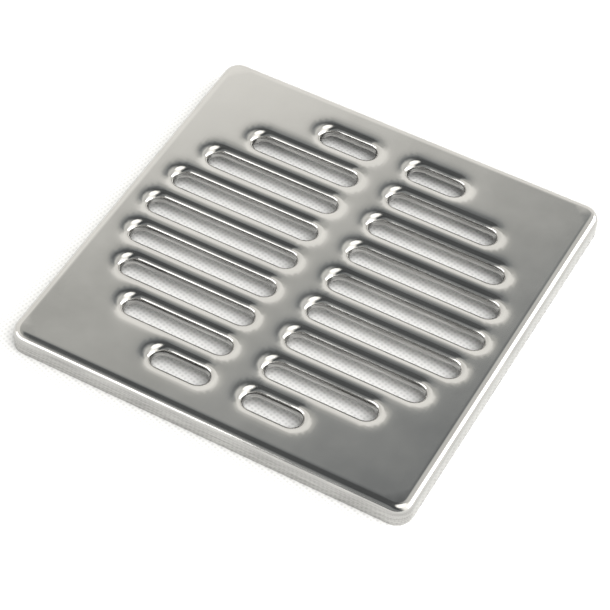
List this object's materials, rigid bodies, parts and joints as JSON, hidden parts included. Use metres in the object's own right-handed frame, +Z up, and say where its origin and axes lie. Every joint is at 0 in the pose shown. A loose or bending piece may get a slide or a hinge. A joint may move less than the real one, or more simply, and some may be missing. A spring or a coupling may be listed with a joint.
{
  "type": "floor drain grate",
  "caption": "Square pressed stainless floor drain grate: drawn obround slots in a round field, rolled edge with a short skirt, and welded locating lugs underneath.",
  "frame": {"origin": "middle of the square, in the plane of the skirt's bottom rim", "axes": "+X along the slots, +Y across the rows of slots, +Z up out of the deck"},
  "size_m": [0.15, 0.15, 0.0088],
  "materials": {
    "polished_stainless": "satin-polished stainless sheet with faint drawing marks",
    "lug_stainless": "mill-finish stainless strip"
  },
  "bodies": {
    "root": {"cover_plate": "polished_stainless", "lug_near_left": "lug_stainless", "lug_near_right": "lug_stainless", "lug_far_left": "lug_stainless", "lug_far_right": "lug_stainless"}
  },
  "joints": []
}
